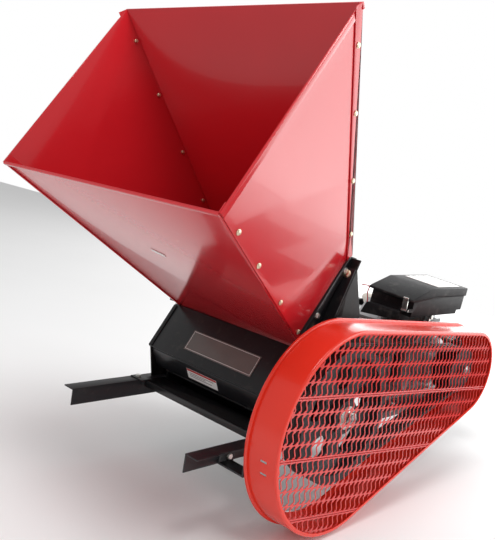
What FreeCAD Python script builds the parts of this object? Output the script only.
import FreeCAD, Part
import math
import os

os.makedirs("parts", exist_ok=True)
V = FreeCAD.Vector

# Drawing datum: X across, Y back from the rails' front ends, Z up from the rails' top faces (mm).
# Stored datum: centre of the four chassis bolts, on the underside of the rails' flanges.
DATUM_Y = 926.0
DATUM_Z = 4.0

# Frame rails
RAIL_LEN = 1400.0
RAIL_X = 220.0
RAIL_FLANGE = 40.0
RAIL_DEPTH = 45.0
RAIL_T = 4.0
MOUNT_X = 242.0
MOUNT_Y = (640.0, 1212.0)
MOUNT_R = 5.5

# Rotor and engine shafts (Y, Z)
ROTOR = (395.0, 75.0)
CRANK = (985.0, 135.0)
SHAFT_R = 20.0
CRANK_R = 14.3
KNIFE_R = 105.0
DRUM_R = 86.0
DRUM_HALF = 208.0

# Housing profile (Y, Z)
SIDE_X = 238.0
SIDE_T = 6.0
LIP = (262.0, 90.0)
THROAT_LOW = (344.0, 212.0)
THROAT_HIGH = (452.0, 460.0)
PAN_R = 112.0
FLAP_TOP = (265.5, 84.0)
FLAP_END = (291.0, 33.0)

# Hopper corners
MOUTH_LOW = (386.0, -176.0, 555.0)
MOUTH_HIGH = (384.0, 128.0, 999.0)
THROAT_HALF = 240.0
SHEET = 2.5
FOOT_TOP = 1.0

# Belt drive
GROOVE_X = (312.0, 331.0, 350.0)
BIG_PULLEY_R = 175.0
SMALL_PULLEY_R = 70.0
PULLEY_X = (300.0, 362.0)

# Belt guard: two circles (Y, Z, radius), depth from back to front
GUARD_BIG = (355.0, 52.0, 258.0)
GUARD_SMALL = (985.0, 137.0, 128.0)
GUARD_X = (308.0, 400.0)
MESH_PITCH = (21.0, 37.56)
MESH_SEAMS = (96.0, -54.25, -204.5)
MESH_TILT = -7.1

# Engine
ENGINE_X = (-70.0, 230.0)
DECK = 95.0
HEAD = 142.0
HEAD_TOP = 168.0
FIN_PITCH = 8.6


def box(x0, x1, y0, y1, z0, z1):
    return Part.makeBox(x1 - x0, y1 - y0, z1 - z0, V(x0, y0, z0))


def rod(axis, start, length, r):
    return Part.makeCylinder(r, length, V(*start), V(*axis))


def rod_x(x0, x1, y, z, r):
    return Part.makeCylinder(r, x1 - x0, V(x0, y, z), V(1, 0, 0))


def tube_x(x0, x1, y, z, r, bore):
    return rod_x(x0, x1, y, z, r).cut(rod_x(x0 - 1, x1 + 1, y, z, bore))


def fuse(shapes):
    first = shapes[0]
    if len(shapes) > 1:
        first = first.multiFuse(shapes[1:])
    return first.removeSplitter()


def group(shapes):
    return Part.makeCompound(shapes)


def prism_x(points, x0, x1):
    ring = [V(x0, y, z) for y, z in points]
    face = Part.Face(Part.makePolygon(ring + [ring[0]]))
    return face.extrude(V(x1 - x0, 0, 0))


def plate(points, direction, t):
    ring = [V(*p) for p in points]
    face = Part.Face(Part.makePolygon(ring + [ring[0]]))
    d = V(*direction)
    d.normalize()
    return face.extrude(d * t)


def band_outline(points, t):
    # A folded sheet seen edge-on: the fold line and its parallel copy on the left.
    normals = []
    for (ay, az), (by, bz) in zip(points, points[1:]):
        n = math.hypot(by - ay, bz - az)
        normals.append((-(bz - az) / n, (by - ay) / n))
    side = []
    for i, (y, z) in enumerate(points):
        a = normals[max(i - 1, 0)]
        b = normals[min(i, len(normals) - 1)]
        s = 1.0 + a[0] * b[0] + a[1] * b[1]
        side.append((y + t * (a[0] + b[0]) / s, z + t * (a[1] + b[1]) / s))
    return list(points) + side[::-1]


def folded_x(points, t, x0, x1):
    return prism_x(band_outline(points, t), x0, x1)


def mirror(shape):
    return shape.mirror(V(0, 0, 0), V(1, 0, 0))


def save(name, shape):
    s = shape.copy()
    s.translate(V(0, -DATUM_Y, DATUM_Z))
    s.exportStep("parts/" + name + ".step")


def loop_wire(big, small, grow, x):
    # Outline around two circles: two arcs joined by the outer tangents.
    r1 = big[2] + grow
    r2 = small[2] + grow
    dy = small[0] - big[0]
    dz = small[1] - big[1]
    dist = math.hypot(dy, dz)
    tilt = math.atan2(dz, dy)
    lean = math.acos((r1 - r2) / dist)

    def at(c, r, a):
        return V(x, c[0] + r * math.cos(a), c[1] + r * math.sin(a))

    up1 = at(big, r1, tilt + lean)
    far1 = at(big, r1, tilt + math.pi)
    dn1 = at(big, r1, tilt - lean)
    up2 = at(small, r2, tilt + lean)
    far2 = at(small, r2, tilt)
    dn2 = at(small, r2, tilt - lean)
    edges = [Part.Arc(up1, far1, dn1).toShape(), Part.makeLine(dn1, dn2),
             Part.Arc(dn2, far2, up2).toShape(), Part.makeLine(up2, up1)]
    return Part.Wire(edges)


def loop_ring(big, small, outer, inner, x0, x1):
    solid = Part.Face(loop_wire(big, small, outer, x0)).extrude(V(x1 - x0, 0, 0))
    hole = Part.Face(loop_wire(big, small, inner, x0 - 1)).extrude(V(x1 - x0 + 2, 0, 0))
    return solid.cut(hole)


def hexagon(point, axis, flats, height):
    # Hexagonal prism standing on a point.
    d = V(*axis)
    d.normalize()
    ref = V(0, 0, 1) if abs(d.z) < 0.9 else V(0, 1, 0)
    u = d.cross(ref)
    u.normalize()
    w = d.cross(u)
    r = flats / math.sqrt(3.0)
    ring = []
    for i in range(6):
        a = math.radians(60 * i)
        ring.append(V(*point) + u * (r * math.cos(a)) + w * (r * math.sin(a)))
    return Part.Face(Part.makePolygon(ring + [ring[0]])).extrude(d * height)


def bolt(point, axis, r, grip):
    # Head on the given point's side, shank through the grip, nut and thread end beyond it.
    d = V(*axis)
    d.normalize()
    p = V(*point)
    flats = 3.4 * r
    out = [hexagon(tuple(p), tuple(d), flats, 1.3 * r)]
    out.append(Part.makeCylinder(2.0 * r, 0.4 * r, p, d))
    out.append(Part.makeCylinder(r, grip + 2.4 * r, p - d * (grip + 2.4 * r), d))
    out.append(hexagon(tuple(p - d * (grip + 1.7 * r)), tuple(d), flats, 1.7 * r))
    return fuse(out)


def drill(shape, bolts, r, reach=60.0):
    tools = []
    for point, axis in bolts:
        d = V(*axis)
        d.normalize()
        tools.append(Part.makeCylinder(r, 2 * reach, V(*point) - d * reach, d))
    return shape.cut(Part.makeCompound(tools))


# ---------- frame ----------

FRONT_BRACKET_BOLT = [((229.3, 137.0, -30.0), (1, 0, 0))]
TRAY_BOLTS = [((240.0, 232.0, 3.1), (0, 0, 1)), ((-240.0, 232.0, 3.1), (0, 0, 1))]
PLATE_BOLTS = [((s * 242.0, y, 8.1), (0, 0, 1)) for s in (-1, 1) for y in (822.0, 1158.0)]
DECK_BOLTS = [((s * 242.0, y, 4.1), (0, 0, 1)) for s in (-1, 1) for y in (1262.0, 1382.0)]
FOOT_BOLTS = [((s * 252.5, y, 5.1), (0, 0, 1)) for s in (-1, 1) for y in (312.0, 572.0)]
ARM_FOOT_BOLT = [((245.0, 1078.0, 13.2), (0, 0, 1))]


def rail(side):
    x = RAIL_X
    top = box(x, x + RAIL_FLANGE, 0, RAIL_LEN, -RAIL_T, 0)
    web = box(x, x + RAIL_T, 0, RAIL_LEN, -RAIL_DEPTH, 0)
    shape = fuse([top, web])
    if side < 0:
        shape = mirror(shape)
    holes = [((side * MOUNT_X, y, 0), (0, 0, 1)) for y in MOUNT_Y]
    shape = drill(shape, holes, MOUNT_R)
    shape = drill(shape, TRAY_BOLTS + FOOT_BOLTS, 4.3)
    shape = drill(shape, PLATE_BOLTS + DECK_BOLTS, 5.3)
    if side > 0:
        shape = drill(shape, ARM_FOOT_BOLT, 4.3)
        shape = drill(shape, FRONT_BRACKET_BOLT, 4.3, 20.0)
    return shape


def cross_member(y0, y1):
    outer = box(-219.9, 219.9, y0, y1, -RAIL_DEPTH, -5)
    inner = box(-215.9, 215.9, y0 + 4, y1 - 4, -RAIL_DEPTH - 1, -9)
    return outer.cut(inner)


def engine_plate():
    shape = box(-262, 262, 800, 1180, 0, 8)
    shape = shape.cut(box(-150, 60, 870, 1100, -1, 9))
    shape = drill(shape, ARM_FOOT_BOLT, 4.3)
    shape = drill(shape, PLATE_BOLTS, 5.3)
    return drill(shape, ENGINE_BOLTS, 5.3)


def rear_deck():
    shape = fuse([box(-262, 262, 1245, 1400, 0, 4), box(-262, 262, 1396, 1400, 4, 30)])
    return drill(shape, DECK_BOLTS, 5.3)


# ---------- housing ----------

BEARING_BOLTS = [(ROTOR[0] + a, ROTOR[1] + b) for a in (-50.0, 50.0) for b in (-50.0, 50.0)]


def throat_frame():
    dy = THROAT_HIGH[0] - THROAT_LOW[0]
    dz = THROAT_HIGH[1] - THROAT_LOW[1]
    n = math.hypot(dy, dz)
    return (dy / n, dz / n), (-dz / n, dy / n), n


def on_throat(along, out):
    u, m, n = throat_frame()
    return (THROAT_LOW[0] + u[0] * along + m[0] * out, THROAT_LOW[1] + u[1] * along + m[1] * out)


def throat_bolts(side):
    u, m, n = throat_frame()
    out = []
    for along in (58.0, 222.0):
        y, z = on_throat(along, FOOT_TOP + 0.1)
        out.append(((side * 264.0, y, z), (0, m[0], m[1])))
    return out


def side_plate(side):
    profile = [LIP, on_throat(0, -3.0), on_throat(throat_frame()[2], -3.0), (491, 452), (556, 297),
               (590, 215), (590, 0), (282, 0)]
    shape = prism_x(profile, SIDE_X, SIDE_X + SIDE_T)
    foot = box(SIDE_X + SIDE_T, 260, 300, 585, 0, 5)
    flange = plate([(SIDE_X + SIDE_T, *on_throat(4, -3.0)), (282, *on_throat(4, -3.0)),
                    (282, *on_throat(266, -3.0)), (SIDE_X + SIDE_T, *on_throat(266, -3.0))],
                   (0, -throat_frame()[1][0], -throat_frame()[1][1]), 5.0)
    gusset = []
    for along in (20.0, 140.0, 250.0):
        p = [(SIDE_X + SIDE_T, *on_throat(along, -8.0)), (278, *on_throat(along, -8.0)),
             (SIDE_X + SIDE_T, *on_throat(along, -42.0))]
        gusset.append(plate(p, (0, *throat_frame()[0]), 4.0))
    shape = fuse([shape, foot, flange] + gusset)
    if side < 0:
        shape = mirror(shape)
    shape = shape.cut(rod_x(-300, 300, ROTOR[0], ROTOR[1], 32))
    holes = [((0, y, z), (1, 0, 0)) for y, z in BEARING_BOLTS]
    shape = drill(shape, holes, 6.3, 300.0)
    shape = drill(shape, FOOT_BOLTS, 4.3)
    if side > 0:
        shape = drill(shape, [((249.1, 452.0, 283.0), (1, 0, 0))], 4.3)
    return drill(shape, throat_bolts(side), 5.3, 30.0)


def front_cover():
    # Sloping cover over the drum, with folded edges that wrap the side plates.
    top = (THROAT_LOW[0] - 1.5, THROAT_LOW[1] - 1.0)
    face = folded_x([LIP, top], 3.0, -248, 248)
    dy = top[0] - LIP[0]
    dz = top[1] - LIP[1]
    n = math.hypot(dy, dz)
    inward = (dz / n, -dy / n)
    edges = []
    for s in (-1, 1):
        p = [(s * 244.6, *LIP), (s * 244.6, *top),
             (s * 244.6, top[0] + inward[0] * 10, top[1] + inward[1] * 10),
             (s * 244.6, LIP[0] + inward[0] * 14, LIP[1] + inward[1] * 14)]
        edges.append(plate(p, (s, 0, 0), 3.4))
    return fuse([face] + edges)


def on_cover(along, out):
    top = (THROAT_LOW[0] - 1.5, THROAT_LOW[1] - 1.0)
    dy = top[0] - LIP[0]
    dz = top[1] - LIP[1]
    n = math.hypot(dy, dz)
    u = (dy / n, dz / n)
    return (LIP[0] + u[0] * along - u[1] * out, LIP[1] + u[1] * along + u[0] * out)


def brand_plate():
    p = [on_cover(25, 3.1), on_cover(97, 3.1), on_cover(97, 4.6), on_cover(25, 4.6)]
    return prism_x(p, -135, 135)


def deflector():
    return folded_x([(272.0, 99.0), FLAP_TOP, FLAP_END], 3.0, -236, 236)


def warning_label():
    dy = FLAP_END[0] - FLAP_TOP[0]
    dz = FLAP_END[1] - FLAP_TOP[1]
    n = math.hypot(dy, dz)
    u = (dy / n, dz / n)

    def at(a, b):
        return (FLAP_TOP[0] + u[0] * a + u[1] * b, FLAP_TOP[1] + u[1] * a - u[0] * b)

    p = [at(14, 0.2), at(46, 0.2), at(46, 0.9), at(14, 0.9)]
    return prism_x(p, -92, 25)


def discharge_tray():
    floor = box(-219.5, 219.5, 235, 311, -3, 0)
    lip = box(-214, 214, 235, 238, -18, -3)
    lugs = [box(205, 257, 217, 250, 0, 3), box(-257, -205, 217, 250, 0, 3)]
    return drill(fuse([floor, lip] + lugs), TRAY_BOLTS, 4.3)


def belly_pan():
    shell = tube_x(-214, 214, ROTOR[0], ROTOR[1], PAN_R + 3, PAN_R)
    wedge = prism_x([ROTOR, (ROTOR[0] - 220, ROTOR[1] - 220), (ROTOR[0] + 10, ROTOR[1] - 260),
                     (ROTOR[0] + 260, ROTOR[1] - 230), (ROTOR[0] + 300, ROTOR[1])], -214, 214)
    shell = shell.common(wedge)
    low = box(-300, 300, 100, 700, -100, 38)
    cheeks = []
    for x in (-217.0, 214.0):
        disc = rod_x(x, x + 3, ROTOR[0], ROTOR[1], PAN_R + 3).common(low)
        cheeks.append(disc.common(box(-300, 300, 317, 700, -100, 100)))
    return fuse([shell] + cheeks)


def rear_wall():
    # Back of the feed chute, drawn in to the drum.
    line = [(509.5, 76.0), (513.0, 140.0), (548.0, 300.0), (459.0, 450.0)]
    return folded_x(line, -4.0, -237.7, 237.7)


def counter_knife():
    dy = -0.343
    dz = 0.939

    def at(r, t):
        return (ROTOR[0] + dy * r + dz * t, ROTOR[1] + dz * r - dy * t)

    bar = prism_x([at(KNIFE_R + 1.5, -5), at(137, -5), at(137, 7), at(KNIFE_R + 3, 7)], -237, 237)
    return bar


def inlet_sill():
    # Bar that carries the counter knife, fixed between the side plates.
    dy = -0.343
    dz = 0.939

    def at(r, t):
        return (ROTOR[0] + dy * r + dz * t, ROTOR[1] + dz * r - dy * t)

    return prism_x([at(112, 7.3), at(133, 7.3), at(130, 17), at(112, 17)], -237.5, 237.5)


# ---------- rotor ----------

def drum_point(angle, r, t):
    a = math.radians(angle)
    return (ROTOR[0] + r * math.cos(a) - t * math.sin(a), ROTOR[1] + r * math.sin(a) + t * math.cos(a))


def drum_block(angle, r0, r1, t0, t1, x0, x1):
    p = [drum_point(angle, r0, t0), drum_point(angle, r1, t0), drum_point(angle, r1, t1),
         drum_point(angle, r0, t1)]
    return prism_x(p, x0, x1)


KNIFE_ANGLES = (25.0, 205.0)


def rotor_drum():
    skin = tube_x(-DRUM_HALF, DRUM_HALF, ROTOR[0], ROTOR[1], DRUM_R, DRUM_R - 10)
    ends = [tube_x(x, x + 12, ROTOR[0], ROTOR[1], DRUM_R - 5, SHAFT_R + 0.05)
            for x in (-DRUM_HALF, -6.0, DRUM_HALF - 12)]
    seats = [drum_block(a, 52, 80, -12, 28, -DRUM_HALF, DRUM_HALF) for a in KNIFE_ANGLES]
    shape = fuse([skin] + ends + seats)
    for a in KNIFE_ANGLES:
        shape = shape.cut(drum_block(a, 66, 120, -0.2, 20.2, -206, 206))
    return shape


def drum_knife(angle):
    return drum_block(angle, 66.2, KNIFE_R - 0.5, 0, 8, -205, 205)


def knife_clamp(angle):
    shape = drum_block(angle, 66.2, 86, 8.2, 20, -205, 205)
    top = drum_block(angle, 86, 120, 8, 30, -210, 210)
    return shape.cut(top)


def clamp_screws():
    out = []
    for a in KNIFE_ANGLES:
        rad = math.radians(a)
        for x in (-160.0, -80.0, 0.0, 80.0, 160.0):
            y, z = drum_point(a, 86.1, 14)
            d = (0, math.cos(rad), math.sin(rad))
            out.append(rod(d, (x, y, z), 4.0, 5.0))
    return group(out)


def rotor_shaft():
    shape = rod_x(-296, 384, ROTOR[0], ROTOR[1], SHAFT_R)
    return shape.cut(tube_x(362, 390, ROTOR[0], ROTOR[1], 40, 13.9))


def bearing(side):
    y, z = ROTOR
    base = box(244.2, 258, y - 66, y + 66, z - 66, z + 66)
    hub = rod_x(244.2, 286, y, z, 46)
    shape = fuse([base, hub]).cut(rod_x(200, 300, y, z, SHAFT_R + 0.05))
    edges = [e for e in shape.Edges if abs(e.Length - 13.8) < 0.01]
    shape = shape.makeFillet(14, edges)
    holes = [((250, by, bz), (1, 0, 0)) for by, bz in BEARING_BOLTS]
    shape = drill(shape, holes, 6.3)
    if side < 0:
        shape = mirror(shape)
    return shape


def bearing_bolts():
    out = []
    for s in (-1, 1):
        for y, z in BEARING_BOLTS:
            out.append(bolt((s * 258.2, y, z), (s, 0, 0), 6.0, 20.6))
    return group(out)


# ---------- belt drive ----------

def pulley(centre, rim, bore, x0, x1, spokes):
    y, z = centre
    shape = tube_x(x0, x1, y, z, rim, bore)
    for g in GROOVE_X:
        line = [(g - 8.6, rim + 1), (g - 6.9, rim - 11.5), (g + 6.9, rim - 11.5), (g + 8.6, rim + 1)]
        ring = [V(a, y, z + b) for a, b in line]
        face = Part.Face(Part.makePolygon(ring + [ring[0]]))
        shape = shape.cut(face.revolve(V(0, y, z), V(1, 0, 0), 360))
    if spokes:
        web = 14.0
        mid = 0.5 * (x0 + x1)
        for a, b in ((x0 - 1, mid - web / 2), (mid + web / 2, x1 + 1)):
            shape = shape.cut(tube_x(a, b, y, z, rim - 24, 44))
        for i in range(5):
            ang = math.radians(72 * i + 20)
            shape = shape.cut(rod_x(x0, x1, y + 97 * math.cos(ang), z + 97 * math.sin(ang), 33))
    return shape


def v_belts():
    big = (ROTOR[0], ROTOR[1], BIG_PULLEY_R)
    small = (CRANK[0], CRANK[1], SMALL_PULLEY_R)
    return group([loop_ring(big, small, -0.8, -10.8, g - 6.4, g + 6.4) for g in GROOVE_X])


def pulley_nut():
    y, z = ROTOR
    washer = tube_x(362.2, 366, y, z, 30, 14.0)
    nut = hexagon((366, y, z), (1, 0, 0), 36, 14).cut(rod_x(360, 390, y, z, 14.0))
    return fuse([washer, nut])


# ---------- hopper ----------

def side_normal():
    a = V(*MOUTH_LOW)
    b = V(*MOUTH_HIGH)
    c = V(THROAT_HALF, THROAT_LOW[0], THROAT_LOW[1])
    n = (c - a).cross(b - a)
    n.normalize()
    if n.x < 0:
        n = n * -1
    return n


def throat_rear_half():
    # Keeps the side wall flat: the rear throat corner is found on its plane.
    n = side_normal()
    a = V(*MOUTH_LOW)
    y = THROAT_HIGH[0] - a.y
    z = THROAT_HIGH[1] - a.z
    return a.x - (n.y * y + n.z * z) / n.x


def hopper_corners(shift):
    # The four corners of the right wall, moved along the wall's outward normal.
    n = side_normal() * shift
    pts = [V(*MOUTH_LOW), V(*MOUTH_HIGH), V(throat_rear_half(), *THROAT_HIGH),
           V(THROAT_HALF, *THROAT_LOW)]
    return [p + n for p in pts]


def edge_strip(a, b, inward, width):
    # A strip beside the edge from a to b, reaching in towards a third point.
    e = b - a
    e.normalize()
    d = inward - a
    d = d - e * d.dot(e)
    d.normalize()
    return [a, b, b + d * width, a + d * width]


def wall_sheet(points, normal, t):
    return plate([tuple(p) for p in points], tuple(normal), t)


def seam_bolts(side, seam):
    n = side_normal()
    low, high, rear, front = hopper_corners(0)
    if seam == "front":
        a, b, third, steps, lift = low, front, high, (0.13, 0.335, 0.60, 0.85), 0.15
    else:
        a, b, third, steps, lift = high, rear, low, (0.13, 0.37, 0.64, 0.88), SHEET + 0.45
    e = b - a
    u = V(e.x, e.y, e.z)
    u.normalize()
    d = third - a
    d = d - u * d.dot(u)
    d.normalize()
    out = []
    for s in steps:
        p = a + e * s + d * 12.0 + n * lift
        out.append(((side * p.x, p.y, p.z), (side * n.x, n.y, n.z)))
    return out


def hopper_side(side):
    n = side_normal()
    low, high, rear, front = hopper_corners(0)
    u, m, length = throat_frame()
    sheet = wall_sheet([low, high, rear, front], -n, SHEET)
    e = high - low
    e.normalize()
    rim = wall_sheet(edge_strip(low, high - e * 36.0, front, 14.0), n, 4.0)
    near = on_throat(3, FOOT_TOP)
    far = on_throat(length - 32, FOOT_TOP)
    foot_line = [(front.x - 2, *near), (281, *near), (281, *far), (rear.x - 2, *far)]
    foot = plate(foot_line, (0, -m[0], -m[1]), FOOT_TOP + SHEET)
    keep = plate([(0, *on_throat(-60, 0)), (600, *on_throat(-60, 0)), (600, *on_throat(length + 80, 0)),
                  (0, *on_throat(length + 80, 0))], (0, -m[0], -m[1]), 60.0)
    shape = fuse([sheet.cut(keep), rim, foot])
    if side < 0:
        shape = mirror(shape)
    shape = drill(shape, seam_bolts(side, "front") + seam_bolts(side, "rear"), 3.3, 25.0)
    return drill(shape, throat_bolts(side), 5.3, 30.0)


def hopper_front():
    n = side_normal()
    off = (SHEET + 0.3) / n.x
    low, high, rear, front = hopper_corners(0)
    a = (low.x - off, low.y, low.z)
    b = (front.x - off, front.y, front.z)
    c = (-b[0], b[1], b[2])
    d = (-a[0], a[1], a[2])
    ax = V(0, front.y - low.y, front.z - low.z)
    up = V(0, -ax.z, ax.y)
    up.normalize()
    sheet = plate([a, b, c, d], tuple(up), SHEET)
    ax.normalize()
    rim = plate([(a[0] - 1, a[1], a[2]), (1 - a[0], a[1], a[2]),
                 (1 - a[0], a[1] + 8 * ax.y, a[2] + 8 * ax.z), (a[0] - 1, a[1] + 8 * ax.y, a[2] + 8 * ax.z)],
                (0, -up.y, -up.z), 4.0)
    shapes = [sheet, rim]
    inner = hopper_corners(-(SHEET + 0.3))
    strip = edge_strip(inner[0], inner[3], inner[1], 24.0)
    flange = wall_sheet(strip, -n, SHEET)
    over = plate([(-500, low.y, low.z), (500, low.y, low.z),
                  (500, front.y, front.z), (-500, front.y, front.z)],
                 tuple(-up), 80.0)
    flange = flange.cut(over)
    shapes += [flange, mirror(flange)]
    shape = fuse(shapes)
    return drill(shape, seam_bolts(1, "front") + seam_bolts(-1, "front"), 3.3, 25.0)


def hopper_back():
    n = side_normal()
    off = (SHEET + 0.3) / n.x
    low, high, rear, front = hopper_corners(0)
    a = (high.x + off, high.y, high.z)
    b = (rear.x + off, rear.y, rear.z)
    ax = V(0, rear.y - high.y, rear.z - high.z)
    out = V(0, -ax.z, ax.y)
    out.normalize()
    if out.y < 0:
        out = out * -1
    base = [(a[0], a[1], a[2]), (b[0], b[1], b[2]), (-b[0], b[1], b[2]), (-a[0], a[1], a[2])]
    lift = out * 0.3
    base = [(p[0], p[1] + lift.y, p[2] + lift.z) for p in base]
    sheet = plate(base, tuple(out), SHEET)
    ax.normalize()
    hem = [(a[0], a[1], a[2]), (-a[0], a[1], a[2]), (-a[0], a[1] + 14 * ax.y, a[2] + 14 * ax.z),
           (a[0], a[1] + 14 * ax.y, a[2] + 14 * ax.z)]
    hem = [(p[0], p[1] + lift.y, p[2] + lift.z) for p in hem]
    rim = plate(hem, tuple(out), 6.0)
    outer = hopper_corners(0.3)
    strip = edge_strip(outer[1], outer[2], outer[0], 24.0)
    back = out * (SHEET + 0.3)
    strip[0] = strip[0] + V(0, back.y, back.z)
    strip[1] = strip[1] + V(0, back.y, back.z)
    flange = wall_sheet(strip, n, SHEET)
    shape = fuse([sheet, rim, flange, mirror(flange)])
    return drill(shape, seam_bolts(1, "rear") + seam_bolts(-1, "rear"), 3.3, 25.0)


def hopper_bolts(side):
    out = []
    for p, d in seam_bolts(side, "front") + seam_bolts(side, "rear"):
        out.append(bolt(p, d, 3.0, 2 * SHEET + 0.9))
    return group(out)


def inlet_bolts():
    out = []
    for s in (-1, 1):
        for p, d in throat_bolts(s):
            out.append(bolt(p, d, 5.0, 9.6))
    return group(out)


# ---------- belt guard ----------

GUARD_BOLTS = [((311.2, 124.0, -30.0), (1, 0, 0)), ((311.2, 415.0, 288.0), (1, 0, 0)),
               ((311.2, 1067.0, 53.0), (1, 0, 0))]


def guard_band():
    x0, x1 = GUARD_X
    wall = loop_ring(GUARD_BIG, GUARD_SMALL, 0.0, -2.5, x0, x1)
    lip = loop_ring(GUARD_BIG, GUARD_SMALL, -1.0, -10.0, x1 - 2.5, x1)
    back = loop_ring(GUARD_BIG, GUARD_SMALL, -1.0, -24.0, x0, x0 + 3)
    bead = loop_ring(GUARD_BIG, GUARD_SMALL, 7.0, -1.0, x0, x0 + 9)
    shape = fuse([wall, lip, back, bead])
    slots = []
    for z in (18.0, -12.0):
        slots.append(box(352, 372, 80, 130, z - 3, z + 3))
    shape = shape.cut(group(slots))
    return drill(shape, GUARD_BOLTS, 4.3, 12.0)


def mesh_point(across, up):
    # The mesh is laid at a small tilt about the big circle's centre.
    a = math.radians(MESH_TILT)
    return (GUARD_BIG[0] + across * math.cos(a) - up * math.sin(a),
            GUARD_BIG[1] + across * math.sin(a) + up * math.cos(a))


def mesh_slot(across, up):
    # One pressed slot: a leaning S made of six corners.
    w = 0.26 * MESH_PITCH[0]
    h = 0.40 * MESH_PITCH[1]
    s = 0.20 * MESH_PITCH[0]
    corners = [(s - w, -h), (s + w, -h), (w - s, 0), (s + w, h), (s - w, h), (-w - s, 0)]
    return [mesh_point(across + a, up + b) for a, b in corners]


def seam_bar(level, r1, r2, x0):
    # Raised double rib along one row line, cut back to the inside of the rim.
    strip = []
    for low in (-4.0, 1.0):
        ring = [mesh_point(-300, level + low), mesh_point(900, level + low),
                mesh_point(900, level + low + 3), mesh_point(-300, level + low + 3)]
        strip.append(prism_x(ring, x0, x0 + 2.0))
    big = (GUARD_BIG[0], GUARD_BIG[1], r1)
    small = (GUARD_SMALL[0], GUARD_SMALL[1], r2)
    inside = Part.Face(loop_wire(big, small, -1.0, x0 - 1)).extrude(V(4, 0, 0))
    return [s.common(inside) for s in strip]


def guard_mesh():
    x0 = GUARD_X[1] - 5.0
    big_r = GUARD_BIG[2] - 12.0
    small_r = GUARD_SMALL[2] - 12.0
    wires = [loop_wire(GUARD_BIG, GUARD_SMALL, -3.0, x0)]
    for row in range(-7, 9):
        up = MESH_SEAMS[1] + (row + 0.5) * MESH_PITCH[1]
        for column in range(-13, 42):
            pts = mesh_slot((column + 0.5) * MESH_PITCH[0], up)
            if all(inside_guard(y, z, big_r, small_r) for y, z in pts):
                ring = [V(x0, y, z) for y, z in pts]
                wires.append(Part.makePolygon(ring + [ring[0]]))
    sheet = Part.Face(wires).extrude(V(2.2, 0, 0))
    bars = []
    for level in MESH_SEAMS:
        bars += seam_bar(level, big_r, small_r, x0 + 2.2)
    return sheet.multiFuse(bars)


def guard_gap(y, z, r1, r2):
    # Distance outside the two-circle outline (negative inside).
    dy = GUARD_SMALL[0] - GUARD_BIG[0]
    dz = GUARD_SMALL[1] - GUARD_BIG[1]
    dist = math.hypot(dy, dz)
    uy, uz = dy / dist, dz / dist
    py, pz = y - GUARD_BIG[0], z - GUARD_BIG[1]
    along = py * uy + pz * uz
    across = abs(-py * uz + pz * uy)
    s = (r1 - r2) / dist
    c = math.sqrt(1 - s * s)
    k = along * c - across * s
    if k < 0:
        return math.hypot(along, across) - r1
    if k > dist * c:
        return math.hypot(along - dist, across) - r2
    return along * s + across * c - r1


def inside_guard(y, z, r1, r2):
    return guard_gap(y, z, r1, r2) < 0


def guard_arm_front():
    shape = fuse([box(224.2, 229.2, 105, 156, -44, -5), box(224.2, 307.7, 105, 145, -44, -39),
                  box(302.7, 307.7, 105, 145, -44, -12)])
    shape = drill(shape, FRONT_BRACKET_BOLT, 4.3, 20.0)
    return drill(shape, GUARD_BOLTS[:1], 4.3, 20.0)


def guard_arm_top():
    shape = fuse([box(244.2, 249.0, 400, 466, 270, 297), box(244.2, 307.7, 400, 430, 270, 275),
                  box(302.7, 307.7, 400, 430, 270, 304)])
    shape = drill(shape, [((249.1, 452.0, 283.0), (1, 0, 0))], 4.3, 20.0)
    return drill(shape, GUARD_BOLTS[1:2], 4.3, 20.0)


def guard_arm_rear():
    shape = fuse([box(222, 307.7, 1046, 1090, 8.1, 13.1), box(302.7, 307.7, 1046, 1090, 8.1, 72)])
    shape = drill(shape, GUARD_BOLTS[2:], 4.3, 20.0)
    return drill(shape, ARM_FOOT_BOLT, 4.3, 20.0)


def guard_bolts():
    out = [bolt(p, d, 4.0, 8.6) for p, d in GUARD_BOLTS]
    out.append(bolt((229.4, 137.0, -30.0), (1, 0, 0), 4.0, 9.6))
    out.append(bolt((249.2, 452.0, 283.0), (1, 0, 0), 4.0, 11.4))
    out.append(bolt((245.0, 1078.0, 13.3), (0, 0, 1), 4.0, 17.5))
    return group(out)


def frame_bolts():
    out = [bolt(p, d, 4.0, 7.3) for p, d in TRAY_BOLTS]
    out += [bolt(p, d, 5.0, 12.3) for p, d in PLATE_BOLTS]
    out += [bolt(p, d, 5.0, 8.3) for p, d in DECK_BOLTS]
    out += [bolt(p, d, 4.0, 9.3) for p, d in FOOT_BOLTS]
    out += [bolt(p, d, 5.0, 20.2) for p, d in ENGINE_BOLTS]
    return group(out)


# ---------- engine ----------

ENGINE_BOLTS = [((x, y, 20.1), (0, 0, 1)) for x in (-20.0, 190.0) for y in (850.0, 1120.0)]
BANK = {"front": (-1.0, 95.0), "rear": (1.0, 125.0)}


def crankcase():
    y, z = CRANK
    corners = (("front", 43), ("front", -43), ("rear", -43), ("rear", 43))
    decks = [bank_point(bank, DECK, t, 0) for bank, t in corners]
    body = [(p.y, p.z) for p in decks] + [(1086, 60), (1070, 26), (900, 26), (884, 60)]
    x0, x1 = ENGINE_X
    shapes = [prism_x(body, x0, x1), rod_x(x1 - 1, 262, y, z, 75), rod_x(260, 284, y, z, 42)]
    for fx in (-20.0, 190.0):
        shapes.append(box(fx - 24, fx + 24, 830, 910, 8.1, 20))
        shapes.append(box(fx - 24, fx + 24, 1060, 1140, 8.1, 20))
        shapes.append(box(fx - 24, fx + 24, 890, 1080, 8.1, 40))
    shape = fuse(shapes)
    shape = shape.cut(rod_x(-90, 300, y, z, CRANK_R + 0.05))
    for bank in ("front", "rear"):
        shape = shape.cut(bank_rod(bank, DECK - 4, DECK + 60, 33))
    return drill(shape, ENGINE_BOLTS, 5.3)


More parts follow.
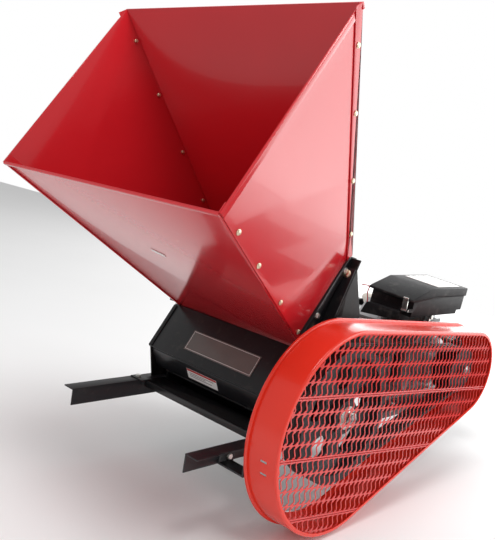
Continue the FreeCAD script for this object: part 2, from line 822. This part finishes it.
def bank_point(bank, r, t, x):
    s, cx = BANK[bank]
    q = math.sqrt(0.5)
    return V(x, CRANK[0] + s * q * r + s * q * t, CRANK[1] + q * r - q * t)


def bank_rod(bank, r0, r1, radius):
    s, cx = BANK[bank]
    q = math.sqrt(0.5)
    return Part.makeCylinder(radius, r1 - r0, bank_point(bank, r0, 0, cx), V(0, s * q, q))


def bank_block(bank, r0, r1, half, hx):
    s, cx = BANK[bank]
    pts = [bank_point(bank, r0, -half, cx - hx), bank_point(bank, r1, -half, cx - hx),
           bank_point(bank, r1, half, cx - hx), bank_point(bank, r0, half, cx - hx)]
    face = Part.Face(Part.makePolygon(pts + [pts[0]]))
    return face.extrude(V(2 * hx, 0, 0))


def cylinder(bank):
    parts = [bank_rod(bank, DECK + 0.2, HEAD - 0.2, 40)]
    for i in range(5):
        r = DECK + 6 + i * FIN_PITCH
        parts.append(bank_block(bank, r, r + 3, 45, 45))
    return fuse(parts)


def cylinder_head(bank):
    parts = [bank_block(bank, HEAD, HEAD_TOP, 38, 38)]
    for i in range(3):
        r = HEAD + 1.0 + i * FIN_PITCH
        parts.append(bank_block(bank, r, r + 3, 45, 46))
    return fuse(parts)


def rocker_cover(bank):
    cap = bank_block(bank, HEAD_TOP + 0.2, HEAD_TOP + 20, 36, 38)
    rim = bank_block(bank, HEAD_TOP + 0.2, HEAD_TOP + 4, 40, 43)
    return fuse([cap, rim])


def crankshaft():
    y, z = CRANK
    return fuse([rod_x(-112, 376, y, z, CRANK_R)])


def crank_bolt():
    y, z = CRANK
    washer = rod_x(376.2, 379.2, y, z, 20)
    return fuse([washer, hexagon((379, y, z), (1, 0, 0), 17, 7)])


def flywheel_fan():
    y, z = CRANK
    disc = tube_x(-90, -80, y, z, 108, CRANK_R + 0.02)
    hub = tube_x(-110, -80, y, z, 30, CRANK_R + 0.02)
    blades = []
    for i in range(16):
        blade = box(-104, -88, y + 60, y + 104, z - 1.5, z + 1.5)
        blade.rotate(V(0, y, z), V(1, 0, 0), i * 22.5)
        blades.append(blade)
    return fuse([disc, hub] + blades)


def blower_housing():
    y, z = CRANK
    outer = [(880, 22), (1090, 22), (1106, 90), (1106, 180), (1050, 252), (920, 252), (864, 180), (864, 90)]
    inner = [(883, 25), (1087, 25), (1103, 91), (1103, 179),
             (1048.5, 249), (921.5, 249), (867, 179), (867, 91)]
    shell = prism_x(outer, -118, -71).cut(prism_x(inner, -115, -60))
    shell = shell.cut(rod_x(-130, -100, y, z, 92))
    return shell


def fan_grille():
    y, z = CRANK
    rings = [tube_x(-121.5, -118.3, y, z, r, r - 4) for r in (100, 84, 66, 48, 30)]
    centre = rod_x(-121.5, -118.3, y, z, 14)
    spokes = []
    for i in range(4):
        bar = box(-121.5, -118.3, y - 99, y + 99, z - 2, z + 2)
        bar.rotate(V(0, y, z), V(1, 0, 0), 45 * i + 22.5)
        spokes.append(bar)
    return fuse(rings + [centre] + spokes)


def intake_manifold():
    a = rod((0, 0, 1), (110, 985, 233.5), 25, 26)
    front = rod((0, -0.92, 0.39), (110, 985, 250), 62, 13)
    rear = rod((0, 0.92, 0.39), (110, 985, 250), 62, 13)
    return fuse([a, front, rear])


def carburettor():
    body = box(150, 205, 955, 1015, 236, 290)
    bowl = rod((0, 0, 1), (178, 985, 233.5), 6, 24)
    throat = rod_x(137, 215, 985, 262, 18)
    elbow = fuse([rod_x(205, 222, 985, 262, 22), rod((0, 0, 1), (213, 985, 262), 30, 20)])
    return fuse([body, bowl, throat, elbow])


AC_X = (136.0, 288.0)
AC_Y = (748.0, 1076.0)
AC_TOP = 383.5
AC_TILT = 4.1
CHOKE = (800.0, 285.0)


def lean(shape):
    # The whole air cleaner tips down towards the belt side.
    shape.rotate(V(AC_X[0], 0, AC_TOP), V(0, 1, 0), AC_TILT)
    return shape


def corner_cut():
    # Upright wedge that takes off the front corner next to the belt guard.
    x, y = AC_X[1], AC_Y[0]
    ring = [V(x - 8, y - 5, 250), V(x + 20, y - 5, 250), V(x + 20, y + 13, 250),
            V(x, y + 13, 250), V(x - 8, y, 250)]
    return Part.Face(Part.makePolygon(ring + [ring[0]])).extrude(V(0, 0, 160))


def air_cleaner_base():
    (x0, x1), (y0, y1) = AC_X, AC_Y
    profile = [(y0 + 17, 300), (y0 + 17, 345.6), (y0 + 45, 345.6), (y0 + 145, 357.6), (y1 - 6, 357.6),
               (y1 - 6, 312), (y1 - 34, 312), (y1 - 34, 300)]
    tray = lean(prism_x(profile, x0 + 6, x1 - 3))
    ring = [V(118, 750, 266), V(250, 750, 274), V(250, 750, 300), V(138, 750, 303), V(132, 750, 298)]
    nose = Part.Face(Part.makePolygon(ring + [ring[0]])).extrude(V(0, 60, 0))
    arm = fuse([box(107, 110.5, 792, 812, 277, 293), box(107, 126, 804, 812, 277, 281)])
    arm = arm.cut(rod_x(100, 120, *CHOKE, 3.5))
    return fuse([tray, nose, arm] + latch_ears(*LATCH_FRONT, 1) + latch_ears(*LATCH_REAR, -1))


def air_cleaner_cover():
    (x0, x1), (y0, y1) = AC_X, AC_Y
    profile = [(y0, 346), (y0, 352.5), (y0 + 102, AC_TOP), (y1, AC_TOP),
               (y1, 358), (y0 + 145, 358), (y0 + 45, 346)]
    return lean(prism_x(profile, x0, x1)).cut(corner_cut())


def air_cleaner_label():
    # Blank plate on the cover's flat top.
    return lean(box(151, 270, 914, 1055, AC_TOP + 0.2, AC_TOP + 1.2))


LATCH_FRONT = (266.0, 744.5, 310.0)
LATCH_REAR = (232.0, 1079.5, 314.0)


def latch(place, s, reach):
    # Clip hinged on the base that hooks over the cover's lower edge.
    x, y, z = place
    pin = rod_x(x - 13, x + 13, y, z, 3.2)
    strap = box(x - 8, x + 8, min(y, y + s * 2.5), max(y, y + s * 2.5), z, z + reach)
    return fuse([pin, strap, rod_x(x - 8, x + 8, y + s * 1.2, z + reach, 2.6)])


def latch_ears(x, y, z, inward):
    # Ears that carry the clip's pin.
    out = []
    for a in (x - 14, x + 9.5):
        near, far = sorted((y - 5 * inward, y + 24 * inward))
        ear = box(a, a + 4.5, near, far, z - 5, z + 5)
        out.append(ear.cut(rod_x(a - 1, a + 6, y, z, 3.3)))
    return out


def throttle_plate():
    return box(230.2, 234.2, 930, 1040, 214, 262).cut(rod_x(220, 250, 960, 240, 4.1))


def throttle_lever():
    pivot = rod_x(229, 241, 960, 240, 4.0)
    arm = box(236.3, 239.3, 954, 966, 232, 272)
    knob = rod_x(236.3, 246, 960, 272, 7)
    return fuse([pivot, arm, knob])


def choke_lever():
    # Thin bent wire lever beside the air cleaner.
    y, z = CHOKE
    path = [(103.5, z), (105, 299), (99.5, 321), (103, 337), (98, 342), (76, 340)]
    out = [rod_x(102, 113, y, z, 3.4)]
    for (xa, za), (xb, zb) in zip(path, path[1:]):
        run = V(xb - xa, 0, zb - za)
        out.append(rod(tuple(run), (xa, y, za), run.Length, 1.6))
        out.append(Part.makeSphere(1.6, V(xb, y, zb)))
    return fuse(out)


def oil_filter():
    shape = rod((0, -1, 0), (60, 883.5, 96), 78, 36)
    edges = [e for e in shape.Edges if abs(e.CenterOfMass.y - 805.5) < 0.1]
    return shape.makeFillet(6, edges)


def dipstick_tube():
    shape = rod((0, 0, 1), (200, 872, 60), 98, 9)
    shape = fuse([shape, box(192, 208, 872, 883.8, 60, 82)])
    return shape.cut(rod((0, 0, 1), (200, 872, 66), 120, 5.5))


def dipstick():
    stick = rod((0, 0, 1), (200, 872, 70), 92, 2.0)
    cap = rod((0, 0, 1), (200, 872, 158.4), 16, 12)
    ring = box(197, 203, 866, 878, 174, 186)
    return fuse([stick, cap, ring])


def starter_motor():
    body = rod_x(-60, 84, 1124, 70, 32)
    nose = rod_x(-68, -60, 1124, 70, 24)
    solenoid = rod_x(-40, 50, 1124, 122, 18)
    neck = box(-30, 30, 1116, 1132, 96, 110)
    return fuse([body, nose, solenoid, neck])


def exhaust(bank):
    # One short pipe and a small silencer under each head, blowing out beside the belt guard.
    side, cx = BANK[bank]
    y = CRANK[0] + side * 175
    z = 172.0
    port = bank_point(bank, HEAD + 13, 47.0, cx)
    can = rod_x(40, 200, y, z, 30)
    run = V(cx, y, z) - port
    pipe = Part.makeCylinder(12, run.Length, port, run)
    tail = tube_x(195, 232, y, z, 12, 9.5)
    return fuse([can, pipe.cut(can), tail.cut(can)])


def spark_lead(bank):
    s, cx = BANK[bank]
    base = bank_point(bank, 150, 0, cx + 46.4)
    plug = Part.makeCylinder(8, 26, base, V(1, 0, 0))
    end = base + V(26, 0, 0)
    low = V(end.x, CRANK[0] + s * 60, 232.5)
    lead = Part.makeCylinder(3.5, (low - end).Length, end, low - end)
    return fuse([plug, Part.makeSphere(8, end), lead, Part.makeSphere(3.5, low)])


def battery():
    case = box(60, 218, 1256, 1386, 6, 150)
    lid = box(58, 220, 1254, 1388, 150, 166)
    posts = [rod((0, 0, 1), (x, 1276, 166), 14, 8) for x in (82, 196)]
    return fuse([case, lid] + posts)


def battery_strap():
    over = box(130, 148, 1252, 1389.5, 166.5, 169.5)
    legs = [box(130, 148, 1249, 1252, 4.1, 169.5), box(130, 148, 1389.5, 1392.5, 4.1, 169.5)]
    return fuse([over] + legs)


def fuel_tank():
    shape = box(-215, 30, 1252, 1390, 34, 236)
    edges = [e for e in shape.Edges if e.Length > 100]
    shape = shape.makeFillet(18, edges)
    neck = tubed_neck()
    return fuse([shape, neck])


def tubed_neck():
    return rod((0, 0, 1), (-140, 1321, 230), 22, 24)


def fuel_cap():
    y = 1321
    cap = rod((0, 0, 1), (-140, y, 252.4), 18, 34)
    ribs = []
    for i in range(12):
        a = math.radians(30 * i)
        ribs.append(rod((0, 0, 1), (-140 + 34 * math.cos(a), y + 34 * math.sin(a), 252.4), 16, 3))
    return fuse([cap] + ribs)


def tank_cradle():
    base = box(-220, 36, 1250, 1392, 4.1, 8)
    rails = [box(-220, 36, 1262, 1280, 8, 33.6), box(-220, 36, 1362, 1380, 8, 33.6)]
    return fuse([base] + rails)


def fuel_hose():
    pts = [V(-60, 1251, 60), V(-60, 1238, 60), V(-60, 1238, 20), V(-30, 1160, 20)]
    shapes = []
    for a, b in zip(pts, pts[1:]):
        shapes.append(Part.makeCylinder(5, (b - a).Length, a, b - a))
    shapes += [Part.makeSphere(5, p) for p in pts[1:]]
    return fuse(shapes)


def control_post():
    post = box(-256, -226, 735, 765, 0, 230)
    post = post.cut(box(-253, -229, 738, 762, -1, 231))
    foot = box(-259, -221, 712, 788, 0, 6).cut(box(-253, -229, 738, 762, -1, 7))
    case = box(-275, -205, 700, 800, 230, 300)
    return fuse([post, foot, case])


def ignition_switch():
    y, z = 725.0, 265.0
    barrel = rod((-1, 0, 0), (-275.2, y, z), 6, 12)
    return barrel.cut(rod((-1, 0, 0), (-270, y, z), 20, 4.1))


def ignition_key():
    y, z = 725.0, 265.0
    stem = rod((-1, 0, 0), (-275.4, y, z), 10, 4.0)
    bow = box(-302, -285, y - 2, y + 2, z - 12, z + 12)
    return fuse([stem, bow])


def stop_button():
    y, z = 775.0, 265.0
    return fuse([rod((-1, 0, 0), (-279.4, y, z), 6, 9), rod((-1, 0, 0), (-285.4, y, z), 9, 15)])


def stop_collar():
    y, z = 775.0, 265.0
    ring = rod((-1, 0, 0), (-275.2, y, z), 8, 14)
    return ring.cut(rod((-1, 0, 0), (-275.2, y, z), 20, 9.1))


# ---------- export ----------

def main():
    save("rail_left", rail(-1))
    save("rail_right", rail(1))
    save("cross_members", group([cross_member(680, 720), cross_member(1300, 1340)]))
    save("engine_plate", engine_plate())
    save("rear_deck", rear_deck())
    save("frame_bolts", group([frame_bolts(), bearing_bolts(), guard_bolts()]))
    save("housing_side_left", side_plate(-1))
    save("housing_side_right", side_plate(1))
    save("front_cover", front_cover())
    save("housing_labels", group([brand_plate(), warning_label()]))
    save("chip_deflector", deflector())
    save("discharge_tray", discharge_tray())
    save("belly_pan", belly_pan())
    save("chute_back", rear_wall())
    save("counter_knife", fuse([counter_knife(), inlet_sill().cut(counter_knife())]))
    save("rotor_shaft", fuse([rotor_shaft()]))
    save("rotor_drum", rotor_drum())
    save("drum_knives", group([drum_knife(a) for a in KNIFE_ANGLES]))
    save("knife_clamps", group([knife_clamp(a) for a in KNIFE_ANGLES] + [clamp_screws()]))
    save("bearings", group([bearing(-1), bearing(1)]))
    save("big_pulley", pulley(ROTOR, BIG_PULLEY_R, SHAFT_R + 0.05, *PULLEY_X, True))
    save("small_pulley", pulley(CRANK, SMALL_PULLEY_R, CRANK_R + 0.05, *PULLEY_X, False))
    save("pulley_nut", pulley_nut())
    save("v_belts", v_belts())
    save("hopper_left", hopper_side(-1))
    save("hopper_right", hopper_side(1))
    save("hopper_front", hopper_front())
    save("hopper_back", hopper_back())
    save("hopper_bolts", group([hopper_bolts(-1), hopper_bolts(1), inlet_bolts()]))
    save("guard_band", guard_band())
    save("guard_mesh", guard_mesh())
    save("guard_arms", group([guard_arm_front(), guard_arm_top(), guard_arm_rear()]))
    save("crankcase", crankcase())
    save("cylinders", group([cylinder("front"), cylinder("rear")]))
    save("cylinder_heads", group([cylinder_head("front"), cylinder_head("rear"),
                                  rocker_cover("front"), rocker_cover("rear")]))
    save("crankshaft", fuse([crankshaft(), crank_bolt(), rod_x(375, 377, *CRANK, 8)]))
    save("flywheel_fan", flywheel_fan())
    save("blower_housing", group([blower_housing(), fan_grille()]))
    save("intake_carburettor", group([intake_manifold(), carburettor()]))
    save("air_cleaner_base", air_cleaner_base())
    save("air_cleaner_cover", air_cleaner_cover())
    save("air_cleaner_label", air_cleaner_label())
    save("latch_front", latch(LATCH_FRONT, -1, 34.5))
    save("latch_rear", latch(LATCH_REAR, 1, 38.0))
    save("throttle_lever", throttle_lever())
    save("choke_lever", choke_lever())
    save("oil_fittings", group([oil_filter(), dipstick_tube()]))
    save("dipstick", dipstick())
    save("starter_motor", starter_motor())
    save("exhaust", group([exhaust("front"), exhaust("rear")]))
    save("leads_and_hose", group([spark_lead("front"), spark_lead("rear"), fuel_hose()]))
    save("battery", battery())
    save("fuel_tank", fuel_tank())
    save("fuel_cap", fuel_cap())
    save("rear_clamps", group([tank_cradle(), battery_strap()]))
    save("control_mounts", group([control_post(), throttle_plate()]))
    save("switch_bezels", group([ignition_switch(), stop_collar()]))
    save("ignition_key", ignition_key())
    save("stop_button", stop_button())


main()
